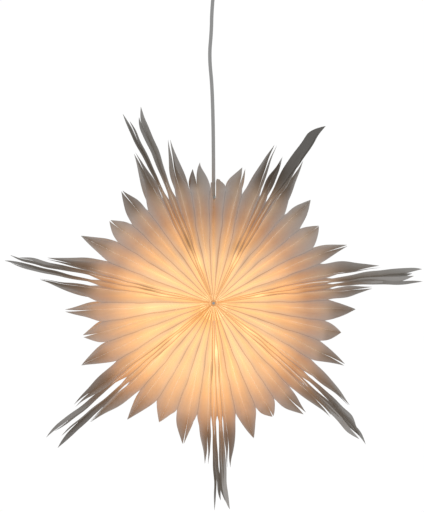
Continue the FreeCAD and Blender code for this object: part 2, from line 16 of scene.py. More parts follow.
import bpy
import numpy as np
from numpy.typing import NDArray
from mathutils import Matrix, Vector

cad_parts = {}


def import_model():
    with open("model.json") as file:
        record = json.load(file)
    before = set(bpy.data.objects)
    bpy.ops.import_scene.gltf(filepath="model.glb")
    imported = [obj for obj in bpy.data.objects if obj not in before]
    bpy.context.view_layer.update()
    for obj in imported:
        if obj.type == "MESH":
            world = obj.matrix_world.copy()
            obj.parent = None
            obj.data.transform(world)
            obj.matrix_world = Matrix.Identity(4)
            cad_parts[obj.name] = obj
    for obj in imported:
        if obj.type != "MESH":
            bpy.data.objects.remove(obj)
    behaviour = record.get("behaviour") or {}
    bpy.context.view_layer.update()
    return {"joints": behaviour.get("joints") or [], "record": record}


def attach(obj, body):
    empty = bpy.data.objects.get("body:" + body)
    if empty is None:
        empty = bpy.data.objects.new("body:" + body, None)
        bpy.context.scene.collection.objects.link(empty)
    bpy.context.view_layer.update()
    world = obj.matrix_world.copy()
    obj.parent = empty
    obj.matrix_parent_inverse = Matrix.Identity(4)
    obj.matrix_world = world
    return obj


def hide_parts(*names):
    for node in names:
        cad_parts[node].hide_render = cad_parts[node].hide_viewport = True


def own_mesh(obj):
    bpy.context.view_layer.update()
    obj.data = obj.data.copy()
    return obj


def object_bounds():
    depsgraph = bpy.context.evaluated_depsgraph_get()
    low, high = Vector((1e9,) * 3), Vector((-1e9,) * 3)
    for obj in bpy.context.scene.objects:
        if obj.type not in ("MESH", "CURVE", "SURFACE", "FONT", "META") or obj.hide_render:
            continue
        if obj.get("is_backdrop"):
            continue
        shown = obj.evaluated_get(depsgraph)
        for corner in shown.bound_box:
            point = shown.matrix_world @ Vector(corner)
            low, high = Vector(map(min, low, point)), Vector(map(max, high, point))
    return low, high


LOG = logging.getLogger("paper_star")

Array = NDArray[np.float64]


# ---- small helpers


def smooth_step(x: Array, start: float, end: float) -> Array:
    """A ramp from 0 at start to 1 at end that eases in and out.

    Args:
        x: Where it is read.
        start: Where it leaves 0.
        end: Where it reaches 1.

    Returns:
        3 t^2 - 2 t^3 of the clipped share t of the way from start to end.
    """
    share = np.clip((x - start) / (end - start), 0.0, 1.0)
    return share * share * (3.0 - 2.0 * share)


def bump_at(x: Array, middle: float, width: float) -> Array:
    """A bell of height 1 at a middle, exp(-((x - middle) / width)^2)."""
    return np.exp(-(((x - middle) / width) ** 2))


def place(name: str, data: bpy.types.ID) -> bpy.types.Object:
    """Puts a mesh, a curve or a camera into the scene at the origin."""
    placed = bpy.data.objects.new(name, data)
    bpy.context.scene.collection.objects.link(placed)
    return placed


@dataclass(frozen=True)
class Ripple:
    """A smooth uneven line: a sum of three sine waves with their own phases.

    Attributes:
        seed: Makes the same line each time.
        wavelength: The longest wave, in metres.
        height: The sum's typical height.
    """

    seed: int
    wavelength: float
    height: float

    def at(self, x: Array) -> Array:
        """Reads the line.

        Args:
            x: Distances along it, in metres.

        Returns:
            The line's heights, of the same shape as x.
        """
        random = np.random.default_rng(self.seed)
        phases = random.uniform(0.0, 2.0 * math.pi, 3)
        total = np.zeros_like(x)
        for octave, phase in enumerate(phases):
            pace = 2.0 * math.pi * 1.9**octave / self.wavelength
            total += np.sin(pace * x + phase) / 1.7**octave
        return self.height * total / 1.6


# ---- the paper's shape


# Where the paper's lines begin to settle, in metres from the axle, and how late they do.
SETTLE_START = 0.04
SETTLE_POWER = 1.25


def settling(r: Array, reach: float) -> Array:
    """How far a line has settled, a power of the way from SETTLE_START to its reach."""
    return np.clip((r - SETTLE_START) / (reach - SETTLE_START), 0.0, 1.0) ** SETTLE_POWER


class LeafKind(Enum):
    """The leaves' cuts, each from the axle to the tip and its edge's bow, in metres.

    The bow is how far the edge stands out of a straight line; a negative one is hollow.
    """

    LONG = (0.350, 0.0)
    BLUNT = (0.334, 0.0)
    MIDDLE = (0.283, -0.009)
    SIDE = (0.240, -0.001)
    LOW = (0.219, 0.003)

    @property
    def reach(self) -> float:
        """From the axle to the tip, in metres."""
        return self.value[0]

    @property
    def bow(self) -> float:
        """How far the edge stands out of a straight line, in metres."""
        return self.value[1]


# How much shorter a line's blunt blade hangs than its long one, in metres.
BLUNT_LOSS = 0.015

# A ramp's start and end.
Span = tuple[float, float]


@dataclass(frozen=True)
class PaperStock:
    """What every leaf shares, in metres where it is a size.

    Attributes:
        fold_reach: From the axle to the folds' end.
        half_depth: From the middle plane to the folds.
        spool_room: The hole round the axle's spools.
        nose_room: The hole round the axle's nose, where the folds meet it.
        nose_depth: From the middle plane to where the nose begins.
        cavity_radius: The bulb's room, from the axle.
        cavity_half_depth: The same along the axle.
        blade_neck: A blade's half width where its flare ends.
        blade_end: Its half width where its point begins.
        blade_taper: The share of a blade that its point takes.
        flare_power: How fast a blade's flare falls away.
        thickness: The paper's thickness.
        glue_end: From the axle to where the glue ends.
        glue: Half the thickness of the glue.
        pressed: Where cells that are pressed together near the axle open.
        pressed_power: How tightly they are pressed.
        eased: Where they ease once more.
        eased_power: How tightly they still lie before that.
        cord_channel: The cord's room to each side.
        channel_starts: Where that room begins.
        channel_half_depth: How far the room goes from the middle plane.
        channel_ends: Where it has closed again, as a multiple of that.
        seam_closed: The share of a leaf that stays together beside the cord.
        seam_opens: Where it begins to open.
        parting_power: How late the two leaves of a double tip part.
        nod_power: How late a leaf's end nods.
        turning: The shares of a leaf's free end between which it turns.
        shading: Those between which its own shade sets in.
    """

    fold_reach: float = 0.180
    half_depth: float = 0.080
    spool_room: float = 0.0060
    nose_room: float = 0.0017
    nose_depth: float = 0.0745
    cavity_radius: float = 0.078
    cavity_half_depth: float = 0.055
    blade_neck: float = 0.014
    blade_end: float = 0.010
    blade_taper: float = 0.20
    flare_power: float = 8.0
    thickness: float = 0.00022
    glue_end: float = 0.196
    glue: float = 0.00016
    pressed: Span = (0.045, 0.150)
    pressed_power: float = 4.6
    eased: Span = (0.150, 0.185)
    eased_power: float = 0.35
    cord_channel: float = 0.0036
    channel_starts: Span = (0.06, 0.075)
    channel_half_depth: float = 0.018
    channel_ends: float = 1.7
    seam_closed: float = 0.45
    seam_opens: float = 0.160
    parting_power: float = 1.6
    nod_power: float = 1.8
    turning: Span = (0.06, 0.55)
    shading: Span = (0.05, 0.4)

    def half_width(self, kind: LeafKind, r: Array) -> Array:
        """A leaf's half width, which is 0 at its tip.

        Args:
            kind: The leaf's cut.
            r: Distances from the axle, past the folds' end.

        Returns:
            For a petal a straight line to the tip plus a parabola of the cut's bow, and for
            a blade a straight taper plus a flare that falls as a high power of the way,
            times a parabola that brings its last part to a point.
        """
        share = (r - self.fold_reach) / (kind.reach - self.fold_reach)
        if kind not in (LeafKind.LONG, LeafKind.BLUNT):
            return self.half_depth * (1.0 - share) + 4.0 * kind.bow * share * (1.0 - share)
        blade = self.blade_neck + (self.blade_end - self.blade_neck) * share
        flare = np.clip(1.0 - share, 0.0, 1.0) ** self.flare_power
        flare = (self.half_depth - self.blade_neck) * flare
        point = np.clip((1.0 - share) / self.blade_taper, 0.0, 1.0)
        return (blade + flare) * point * (2.0 - point)

    def cavity_edge(self, depth: Array) -> Array:
        """Where the sheet begins, on the ellipse that leaves the bulb its room.

        Args:
            depth: Distances from the middle plane, along the axle.

        Returns:
            The distance from the axle, which is the ellipse's inside the cavity, the
            spool's room in front of and behind it, and the axle's nose's at the folds.
        """
        share = 1.0 - (depth / self.cavity_half_depth) ** 2
        ellipse = self.cavity_radius * np.sqrt(np.clip(share, 0.0, None))
        room = np.where(np.abs(depth) > self.nose_depth, self.nose_room, self.spool_room)
        return np.maximum(ellipse, room)


@dataclass(frozen=True)
class GlueLine:
    """Where two cells are glued, and the double tip that their two leaves end in.

    Attributes:
        index: Its place in the fan, counted from the lower spike.
        rest: Its heading where the paper is flat round the axle, in degrees.
        tip: The heading that its tip has settled to, in degrees.
        reach: From the axle to the tip as it hangs, in metres.
        kind: The cut of its two leaves; a long line has one long and one blunt leaf.
    """

    index: int
    rest: float
    tip: float
    reach: float
    kind: LeafKind

    @property
    def seed(self) -> int:
        """Makes its unevenness, and its leaves'."""
        return self.index * 31 + 17

    def heading(self, r: Array, reach: float) -> Array:
        """The line's heading, which leans towards the tip's as a power of the way out.

        Args:
            r: Distances from the axle.
            reach: The tip's distance from the axle.

        Returns:
            Headings in radians.
        """
        uneven = Ripple(self.seed, wavelength=0.16, height=0.30).at(r)
        uneven = uneven * smooth_step(r, start=0.03, end=0.10)
        turned = (self.tip - self.rest) * settling(r, reach)
        return np.radians(self.rest + turned + uneven)


@dataclass(frozen=True)
class Crease:
    """A cell's front and rear folds, which are one line as seen along the axle.

    Attributes:
        rest: Its heading where the paper is flat round the axle, in degrees.
        end: The heading that its outer end has settled to, in degrees.
        pinch: How far the folds sink where the paper is pinched, in metres.
        seed: Makes its unevenness.
    """

    rest: float
    end: float
    pinch: float
    seed: int

    def heading(self, r: Array, stock: PaperStock) -> Array:
        """The folds' heading in radians, which settles outwards as the glue lines' does."""
        uneven = Ripple(self.seed + 7, wavelength=0.12, height=0.55).at(r)
        calmer = 1.0 - 0.6 * smooth_step(r, start=0.12, end=0.18)
        uneven *= smooth_step(r, start=0.012, end=0.06) * calmer
        turned = (self.end - self.rest) * settling(r, stock.fold_reach)
        return np.radians(self.rest + turned + uneven)

    def depth(self, r: Array, stock: PaperStock) -> Array:
        """How deep the fold lies from the middle plane, sunk where it is pinched."""
        sunk = self.pinch * bump_at(r, middle=0.104, width=0.026)
        uneven = Ripple(self.seed + 11, wavelength=0.20, height=0.0012).at(r)
        uneven = uneven * smooth_step(r, start=0.02, end=0.08)
        return stock.half_depth - sunk - np.abs(uneven)


# A cell: its glue lines at the lower and at the higher heading, and its folds.
Cell = tuple[GlueLine, GlueLine, Crease]


@dataclass(frozen=True)
class Droop:
    """How a leaf's free end has curled.

    Attributes:
        twist: The turn of the end about its own length, in degrees.
        nod: The tip's shift along the axle, in metres.
        part: The angle that the leaf's tip has parted from its line, in degrees.
        shorten: How much of the reach past the folds is lost by curling, as a share.
        slant: Which edge the tip is drawn to, from -1 at the front to 1 at the rear.
        bulge: How much further its edges stand out halfway to the tip, as a share.
        shade: How much of the room's light it gives back, as painted shade.
    """

    twist: float
    nod: float
    part: float
    shorten: float = 0.0
    slant: float = 0.0
    bulge: float = 0.0
    shade: float = 1.0


@dataclass(frozen=True)
class Leaf:
    """One leaf: from its glue line in the middle to the front and the rear fold.

    Attributes:
        line: Its glue line.
        crease: Its cell's folds.
        side: 1 where the cell is on the higher heading's side of the line, else -1.
        kind: Its cut.
        droop: How its free end has curled.
        beside_cord: Whether it keeps clear of the cord.
    """

    line: GlueLine
    crease: Crease
    side: int
    kind: LeafKind
    droop: Droop
    beside_cord: bool = False

    def lost_reach(self, stock: PaperStock) -> float:
        """How much nearer the tip hangs than its cut reaches, in metres."""
        hangs = self.line.reach - (BLUNT_LOSS if self.kind is LeafKind.BLUNT else 0.0)
        lost = self.kind.reach - hangs
        return lost + self.droop.shorten * (hangs - stock.fold_reach)

    def surface(self, stock: PaperStock, inner: int, outer: int, across: int) -> Grid:
        """The leaf's surface as a function of the way out and the way across.

        Its distance from the axle runs from the cavity's edge to the folds' end, then to
        the tip, where the depth is held within the outline.

        Args:
            stock: What the leaves share.
            inner: Rows up to the folds' end.
            outer: Rows from there to the tip.
            across: Columns from the front fold to the rear one.

        Returns:
            The grid's points and what the finish reads from them.
        """
        reach = self.kind.reach
        even = np.linspace(-1.0, 1.0, across)
        column = 0.55 * np.sin(even * math.pi / 2.0) + 0.45 * even
        low = np.linspace(0.0, 1.0, inner)[:, None]
        start = stock.cavity_edge(column * stock.half_depth)[None, :]
        r_inner = start + (stock.fold_reach - start) * low
        high = np.linspace(0.0, 1.0, outer + 1)[1:, None] ** 0.9
        r_outer = stock.fold_reach + (reach - stock.fold_reach) * high
        r_outer = np.repeat(r_outer, across, axis=1)
        r = np.vstack([r_inner, r_outer])
        free = np.vstack([np.zeros_like(r_inner), np.repeat(high, across, axis=1)])

        width = np.ones_like(r)
        width[inner:] = stock.half_width(self.kind, r_outer) / stock.half_depth
        share = np.abs(column)[None, :] * width
        deep = self.crease.depth(np.minimum(r, stock.fold_reach), stock)
        depth = np.sign(column)[None, :] * share * deep
        narrowed = np.clip(stock.blade_end - width * stock.half_depth, 0.0, None)
        depth = depth + self.droop.slant * narrowed

        heading, ridge = self.headings(stock, r, free, share, depth)
        points = self.curled(stock, r, free, heading, depth)
        shade = 1.0 + (self.droop.shade - 1.0) * smooth_step(free, *stock.shading)
        return Grid(points, r, share, ridge, shade, self.line.seed + self.side)

    def headings(
        self, stock: PaperStock, r: Array, free: Array, share: Array, depth: Array
    ) -> tuple[Array, Array]:
        """The heading of each point, before the leaf's end has curled.

        It runs from the glue line's to the fold's as a power of the depth, a high one near
        the axle, where neighbouring cells lie against each other, and a low one further
        out. The leaves beside the cord stay together further out and leave it its room.

        Args:
            stock: What the leaves share.
            r: Distances from the axle.
            free: The share of the way past the folds' end.
            share: The share of the way from the glue line to the fold.
            depth: Distances from the middle plane.

        Returns:
            Headings in radians, and distances from the fold as seen along the axle.
        """
        line = self.line.heading(r, self.kind.reach) + self.side * stock.glue / r
        fold = self.crease.heading(np.minimum(r, stock.fold_reach), stock)
        power = 1.0 + stock.pressed_power * (1.0 - smooth_step(r, *stock.pressed))
        power = power + stock.eased_power * (1.0 - smooth_step(r, *stock.eased))
        spread = share
        if self.beside_cord:
            opened = smooth_step(r, stock.seam_opens, stock.fold_reach)
            shut = stock.seam_closed * (1.0 - opened)
            spread = np.clip((share - shut) / (1.0 - shut), 0.0, 1.0)
        bulge = 1.0 + self.droop.bulge * 4.0 * free * (1.0 - free)
        heading = line + (fold - line) * spread**power * bulge
        ridge = np.abs(fold - line) * r * (1.0 - spread**power)
        if self.beside_cord:
            room = stock.channel_half_depth
            clear = np.arctan2(stock.cord_channel, r)
            clear = clear * smooth_step(r, *stock.channel_starts)
            beyond = smooth_step(np.abs(depth), room, stock.channel_ends * room)
            heading = heading + self.side * clear * (1.0 - beyond)
        return heading, ridge

    def curled(
        self, stock: PaperStock, r: Array, free: Array, heading: Array, depth: Array
    ) -> Array:
        """Parts, shortens, turns and nods the leaf's free end.

        Args:
            stock: What the leaves share.
            r: Distances from the axle.
            free: The share of the way past the folds' end.
            heading: Headings in radians.
            depth: Distances from the middle plane.

        Returns:
            Places relative to the star's centre, in metres.
        """
        unglued = (r - stock.glue_end) / (self.kind.reach - stock.glue_end)
        parted = np.clip(unglued, 0.0, 1.0) ** stock.parting_power
        heading = heading + self.side * math.radians(self.droop.part) * parted
        length = r - self.lost_reach(stock) * free**2
        turn = math.radians(self.droop.twist) * smooth_step(free, *stock.turning)
        sideways = depth * np.sin(turn)
        depth = depth * np.cos(turn) + self.droop.nod * free**stock.nod_power
        x = length * np.cos(heading) - sideways * np.sin(heading)
        z = length * np.sin(heading) + sideways * np.cos(heading)
        return np.stack([x, depth, z], axis=-1)


@dataclass(frozen=True)
class Grid:
    """A leaf's points and the facts that its finish reads, as arrays of rows and columns.

    Attributes:
        points: Places relative to the star's centre, in metres.
        r: Distances from the axle.
        share: How near to the fold, from 0 at the glue line to 1.
        ridge: Distances from the fold as seen along the axle, in metres.
        shade: How much of the room's light it gives back, as painted shade.
        seed: The leaf's own number.
    """

    points: Array
    r: Array
    share: Array
    ridge: Array
    shade: Array
    seed: int

    def faces(self, flip: bool) -> NDArray[np.int64]:
        """The grid's quads, turned over where the leaf faces the other way."""
        rows, columns = self.r.shape
        index = np.arange(rows * columns).reshape(rows, columns)
        around = (index[:-1, :-1], index[1:, :-1], index[1:, 1:], index[:-1, 1:])
        quads = np.stack(around, axis=-1).reshape(-1, 4)
        return quads[:, ::-1] if flip else quads


# ---- the light in it


@dataclass(frozen=True)
class LampLight:
    """How the lamp shows through the paper, worked out for each point of a leaf.

    The colour falls with the distance from the lamp through given stops. It differs a
    little from leaf to leaf, deepens in patches and along the very edges of the folds, and
    dims high up, in the outer valleys and where a spike's cells are pinched together.
    Distances are in metres.

    Attributes:
        lamp: The brightest place relative to the star's centre, along X and up.
        stops: Distances from it.
        colours: The light's colour at each stop, in linear red, green and blue.
        amber: The deeper colour that several layers of paper give the light.
        crest: Painted shade, a deeper and darker colour of the light along the very edges
            of the folds.
        fill: The room's light that the leaves pass into the valleys between them.
        inside: Where the inner part of a leaf fades into the outer one.
        outside: Where the outer part begins.
        free_end: Where the outer part's effects grow weaker again.
        shadow_heading: Where the patches of deeper colour are thickest, in degrees.
    """

    lamp: tuple[float, float] = (-0.012, -0.022)
    stops: tuple[float, ...] = (0.0, 0.030, 0.095, 0.130, 0.165, 0.200, 0.250, 0.330)
    colours: tuple[tuple[float, float, float], ...] = (
        (0.56, 0.260, 0.075),
        (0.66, 0.375, 0.175),
        (0.64, 0.380, 0.190),
        (0.46, 0.250, 0.120),
        (0.185, 0.082, 0.032),
        (0.078, 0.040, 0.022),
        (0.018, 0.011, 0.008),
        (0.0, 0.0, 0.0),
    )
    amber: tuple[float, float, float] = (0.99, 0.88, 0.68)
    crest: tuple[float, float, float] = (0.92, 0.66, 0.40)
    fill: tuple[float, float, float] = (0.072, 0.060, 0.046)
    inside: Span = (0.10, 0.17)
    outside: Span = (0.08, 0.14)
    free_end: Span = (0.18, 0.22)
    shadow_heading: float = 250.0

    def colour(self, grid: Grid, heading: float, narrow: bool) -> Array:
        """The light that each point gives off.

        Args:
            grid: A leaf's points and facts.
            heading: The cell's heading, in radians.
            narrow: Whether the cell is a spike's, which shows the strokes of its pinches.

        Returns:
            Linear colours, one row for each point.
        """
        distance = self.distance(grid)
        channels = [np.interp(distance, self.stops, stop) for stop in zip(*self.colours)]
        random = np.random.default_rng(grid.seed * 13 + 5)
        inner = 1.0 - smooth_step(grid.r, *self.inside)
        outer = smooth_step(grid.r, *self.outside)
        outer = outer * (1.0 - 0.6 * smooth_step(grid.r, *self.free_end))
        valley = 1.0 - smooth_step(grid.share, 0.0, 0.8)

        level = self.unevenness(grid, random)
        top = max(math.sin(heading), 0.0) ** 4
        level *= 1.0 - top * (0.10 + 0.22 * smooth_step(distance, *self.outside))
        # Painted shade strokes and painted bright spots.
        level += self.pinch_shading(grid, narrow, random)
        level *= 1.0 + outer * (0.10 - 0.30 * valley)
        level += 0.14 * smooth_step(grid.share, 0.5, 0.95) * inner
        level = np.clip(level, 0.1, None)[..., None]
        fill = (outer * valley)[..., None] * np.array(self.fill)
        light = np.stack(channels, axis=-1) * level
        return light * self.tint(grid, heading, random) + fill

    def distance(self, grid: Grid) -> Array:
        """How far each point lies from the lamp as seen along the axle."""
        x, _, z = np.moveaxis(grid.points, -1, 0)
        return np.hypot(x - self.lamp[0], z - self.lamp[1])

    def unevenness(self, grid: Grid, random: np.random.Generator) -> Array:
        """How bright a leaf is along and across, with the slit at its glue line lighter.

        Args:
            grid: A leaf's points and facts.
            random: The leaf's own draws.

        Returns:
            Factors near 1, one for each point.
        """
        along = Ripple(grid.seed * 3 + 1, wavelength=0.11, height=0.05).at(grid.r)
        across = Ripple(grid.seed * 5 + 2, wavelength=0.22, height=0.09).at(grid.share**3)
        level = 0.98 + random.uniform(-0.09, 0.09) + along + across
        slit = 1.0 - smooth_step(grid.share, 0.30, 0.75)
        slit = random.uniform(-0.02, 0.22) * slit * smooth_step(grid.r, 0.03, 0.07)
        return level + slit * (1.0 - smooth_step(grid.r, *self.inside))

    def pinch_shading(self, grid: Grid, narrow: bool, random: np.random.Generator) -> Array:
        """Painted shade in strokes where a spike's paper is pinched together and beside
        some other folds, and a painted bright spot where a cell gapes.

        Args:
            grid: A leaf's points and facts.
            narrow: Whether the cell is a spike's.
            random: The leaf's own draws.

        Returns:
            What the light's level gains, one number for each point.
        """
        if narrow:
            middle, width = random.uniform(0.085, 0.120), random.uniform(0.012, 0.022)
            stroke = bump_at(grid.r, middle, width) * smooth_step(grid.share, 0.3, 0.8)
            stroke = random.uniform(0.0, 0.6) * stroke
            spot = bump_at(grid.r, random.uniform(0.070, 0.084), width=0.010)
            spot = random.choice((0.0, 0.0, 0.55)) * spot
            return spot * smooth_step(grid.share, 0.4, 0.8) - stroke
        if random.uniform(0.0, 1.0) < 0.35:
            stroke = bump_at(grid.r, random.uniform(0.060, 0.110), width=0.018)
            return -0.26 * stroke * smooth_step(grid.share, 0.85, 1.0)
        return np.zeros_like(grid.r)

    def tint(self, grid: Grid, heading: float, random: np.random.Generator) -> Array:
        """What several layers of paper take from each colour, with painted shade along the
        very edges of the folds.

        Args:
            grid: A leaf's points and facts.
            heading: The cell's heading, in radians.
            random: The leaf's own draws.

        Returns:
            Factors for red, green and blue, one row for each point.
        """
        low_left = max(math.cos(heading - math.radians(self.shadow_heading)), 0.0)
        patch = Ripple(int(heading * 40) + 3, wavelength=0.13, height=0.6).at(grid.r)
        patch = np.clip(patch + 0.15 + 0.7 * low_left, 0.0, 1.0)
        deep = patch * smooth_step(self.distance(grid), 0.06, 0.14)
        deep = deep + random.uniform(0.0, 0.8) * (1.0 - deep)
        # Painted shade along the very edges of the folds.
        width = 0.0001 + 0.0008 * smooth_step(grid.r, 0.0, 0.06)
        edge = random.uniform(0.1, 1.0) * (1.0 - smooth_step(grid.ridge / width, 0.3, 1.0))
        edge = edge * (1.0 - 0.75 * smooth_step(grid.r, 0.10, 0.16))
        tint = 1.0 + deep[..., None] * (np.array(self.amber) - 1.0)
        return tint * (1.0 + edge[..., None] * (np.array(self.crest) - 1.0))

    def whiteness(self, grid: Grid) -> Array:
        """How white each point looks in the room's light, with painted shade that darkens
        the base colour near the lamp, along the very edges of the folds and on leaves with
        their own shade.
        """
        far = smooth_step(self.distance(grid), 0.09, 0.20)
        edge = 1.0 - smooth_step(grid.ridge, 0.0003, 0.0010)
        edge = 0.06 * smooth_step(grid.share, 0.4, 1.0) + 0.28 * edge
        return grid.shade * (0.62 + 0.38 * far - edge * (1.0 - 0.6 * far))


# ---- the finishes


def plug(made: bpy.types.Node, *first: object, **named: object) -> None:
    """Sets a shader node's sockets and properties, or links them.

    Args:
        made: The node.
        *first: What its first sockets take, in order: a value or another node's socket.
        **named: The same by name, with underscores for spaces; other names are properties.
    """
    sockets = list(zip(made.inputs, first))
    for name, value in named.items():
        socket = made.inputs.get(name.replace("_", " "))
        if socket is None:
            setattr(made, name, value)
        else:
            sockets.append((socket, value))
    for socket, value in sockets:
        if isinstance(value, bpy.types.NodeSocket):
            made.id_data.links.new(value, socket)
        else:
            socket.default_value = value


def node(
    tree: bpy.types.NodeTree, kind: str, *first: object, **named: object
) -> bpy.types.Node:
    """Adds a shader node.

    Args:
        tree: The node tree.
        kind: The node's type name without its ShaderNode prefix.
        *first: What its first sockets take, as in plug.
        **named: What its sockets and properties take.

    Returns:
        The new node.
    """
    made = tree.nodes.new(f"ShaderNode{kind}")
    plug(made, *first, **named)
    return made


def new_material(name: str) -> tuple[bpy.types.Material, bpy.types.Node]:
    """Makes a material and gives it with its principled shader."""
    material = bpy.data.materials.new(name)
    material.use_nodes = True
    return material, material.node_tree.nodes["Principled BSDF"]


def new_group(
    name: str, taken: str, given: tuple[str, ...]
) -> tuple[bpy.types.NodeTree, bpy.types.NodeSocket, bpy.types.Node]:
    """Makes an empty shader node group of float sockets.

    Args:
        name: The group's name.
        taken: Its input.
        given: Its outputs.

    Returns:
        The tree, the input's socket within it and its output node.
    """
    tree = bpy.data.node_groups.new(name, "ShaderNodeTree")
    tree.interface.new_socket(taken, in_out="INPUT", socket_type="NodeSocketFloat")
    for output in given:
        tree.interface.new_socket(output, in_out="OUTPUT", socket_type="NodeSocketFloat")
    value = tree.nodes.new("NodeGroupInput").outputs[taken]
    return tree, value, tree.nodes.new("NodeGroupOutput")


def make_fibre_group() -> bpy.types.NodeTree:
    """Pressed paper: soft clouds, fine fibres and a tooth for the bump.

    Returns:
        A group that puts out Shade, near 1, and Tooth, a height.
    """
    tree, contrast, out = new_group("pressed_fibres", "Contrast", ("Shade", "Tooth"))
    where = node(tree, "TexCoord").outputs["Object"]
    cloud = node(tree, "TexNoise", where, Scale=55.0, Detail=3.0, Roughness=0.55)
    fibre = node(tree, "TexNoise", where, Scale=900.0, Detail=4.0, Roughness=0.7)
    plug(fibre, Distortion=1.4)
    both = node(tree, "Math", cloud.outputs["Fac"], fibre.outputs["Fac"], operation="ADD")
    centred = node(tree, "Math", both.outputs[0], 1.0, operation="SUBTRACT")
    near_one = (centred.outputs[0], contrast, 1.0)
    shade = node(tree, "Math", *near_one, operation="MULTIPLY_ADD")
    plug(out, Shade=shade.outputs[0], Tooth=fibre.outputs["Fac"])
    return tree


def make_handling_group() -> bpy.types.NodeTree:
    """Handling marks: faint cloudy dulling and fine scuffs of a moulded or turned piece.

    Returns:
        A group that puts out Dulling, an addition to the roughness, and Height.
    """
    tree, amount, out = new_group("handling_marks", "Amount", ("Dulling", "Height"))
    where = node(tree, "TexCoord").outputs["Object"]
    smear = node(tree, "TexNoise", where, Scale=160.0, Detail=5.0, Roughness=0.6)
    scuff = node(tree, "TexVoronoi", where, feature="DISTANCE_TO_EDGE", Scale=700.0)
    dulling = node(tree, "Math", smear.outputs["Fac"], amount, operation="MULTIPLY")
    plug(out, Dulling=dulling.outputs[0], Height=scuff.outputs["Distance"])
    return tree


@dataclass(frozen=True)
class Finish:
    """A plain finish with handling marks.

    Attributes:
        name: The material's name.
        colour: Linear base colour.
        roughness: Its least roughness.
        metallic: 1 for bare metal.
        marks: How strong its handling marks are.
        glow: Linear emission colour.
        glow_strength: How strongly it glows.
    """

    name: str
    colour: tuple[float, float, float]
    roughness: float
    metallic: float = 0.0
    marks: float = 0.15
    glow: tuple[float, float, float] = (0.0, 0.0, 0.0)
    glow_strength: float = 0.0

    def build(self, marks: bpy.types.NodeTree) -> bpy.types.Material:
        """Makes the material.

        Args:
            marks: The handling marks group.

        Returns:
            The new material.
        """
        material, shader = new_material(self.name)
        tree = material.node_tree
        group = node(tree, "Group", node_tree=marks)
        plug(group, Amount=self.marks)
        dulling, height = group.outputs["Dulling"], group.outputs["Height"]
        rough = node(tree, "Math", dulling, self.roughness, operation="ADD", use_clamp=True)
        bump = node(tree, "Bump", Strength=0.12, Distance=0.0002, Height=height)
        plug(
            shader,
            Base_Color=(*self.colour, 1.0),
            Metallic=self.metallic,
            Roughness=rough.outputs[0],
            Emission_Color=(*self.glow, 1.0),
            Emission_Strength=self.glow_strength,
            Normal=bump.outputs["Normal"],
        )
        return material


@dataclass(frozen=True)
class PaperFinish:
    """White paper with its fibres, which glows where the lamp shows through.

    Attributes:
        colour: Linear base colour.
        roughness: Its roughness.
    """

    colour: tuple[float, float, float] = (0.79, 0.785, 0.77)
    roughness: float = 0.88

    def build(self, fibres: bpy.types.NodeTree) -> bpy.types.Material:
        """Makes the material, which reads two point attributes: lamplight, and the painted
        shade of its base colour.

        Args:
            fibres: The pressed fibres group.

        Returns:
            The new material.
        """
        material, shader = new_material("star_paper")
        tree = material.node_tree
        fibre = node(tree, "Group", node_tree=fibres)
        plug(fibre, Contrast=0.10)
        texture, tooth = fibre.outputs["Shade"], fibre.outputs["Tooth"]
        # Painted shade: the base colour darkens near the lamp, along the folds' edges and
        # on shaded leaves.
        white = node(tree, "Attribute", attribute_name="whiteness").outputs["Fac"]
        shade = node(tree, "Math", texture, white, operation="MULTIPLY").outputs[0]
        paper = node(tree, "VectorMath", self.colour, operation="SCALE", Scale=shade)
        lamplight = node(tree, "Attribute", attribute_name="lamplight").outputs["Color"]
        through = node(tree, "VectorMath", lamplight, operation="SCALE", Scale=texture)
        bump = node(tree, "Bump", Strength=0.25, Distance=0.0003, Height=tooth)
        plug(
            shader,
            Base_Color=paper.outputs[0],
            Roughness=self.roughness,
            Specular_IOR_Level=0.25,
            Emission_Color=through.outputs[0],
            Emission_Strength=1.0,
            Normal=bump.outputs["Normal"],
        )
        return material


# ---- the star


@dataclass(frozen=True)
class Spike:
    """A group of long blades and the petals after it, by heading in degrees.

    Attributes:
        name: Its name in the frame's nodes.
        core: The heading of its middle cell.
        blades: Where the tips of its four glue lines have settled.
        petals: Where the tips of the glue lines after it have settled.
        folds: Where the outer ends of the wide cells' folds have settled.
        reaches: How far from the axle all these tips hang, in millimetres.
    """

    name: str
    core: float
    blades: tuple[float, float, float, float]
    petals: tuple[float, ...]
    folds: tuple[float, ...]
    reaches: tuple[float, ...]


SPIKES = (
    Spike("lower", 271.5, (267.7, 271.0, 273.3, 275.5),
          (286.3, 297.3, 308.7), (281.3, 291.9, 302.3, 312.3),
          (267, 343, 344, 273, 234, 212, 237)),
    Spike("lower_right", 321.3, (316.2, 316.9, 318.4, 322.6),
          (334.6, 346.3, 357.0), (330.3, 340.5, 350.9, 361.4),
          (270, 343, 328, 280, 239, 216, 234)),
    Spike("right", 370.8, (364.8, 366.2, 367.6, 371.8),
          (383.1, 395.5, 406.5), (380.2, 388.8, 400.6, 411.1),
          (263, 346, 347, 280, 239, 214, 232)),
    Spike("upper_right", 423.4, (417.9, 418.8, 424.6, 428.6),
          (437.3, 450.0, 457.6), (435.6, 443.7, 451.8, 461.4),
          (275, 343, 265, 278, 228, 203, 231)),
    Spike("upper_left", 473.2, (465.4, 471.7, 475.2, 477.8),
          (489.7, 501.9, 513.8), (485.4, 496.2, 507.7, 518.7),
          (277, 343, 344, 278, 237, 217, 244)),
    Spike("left", 529.2, (525.0, 526.9, 529.2, 532.7),
          (543.8, 555.0, 565.8), (539.7, 549.5, 560.2, 570.6),
          (283, 342, 353, 288, 245, 222, 241)),
    Spike("lower_left", 580.3, (576.7, 579.3, 582.1, 584.4),
          (593.4, 605.5, 617.9), (590.0, 599.7, 611.2, 621.7),
          (285, 352, 349, 283, 240, 217, 239)),
)


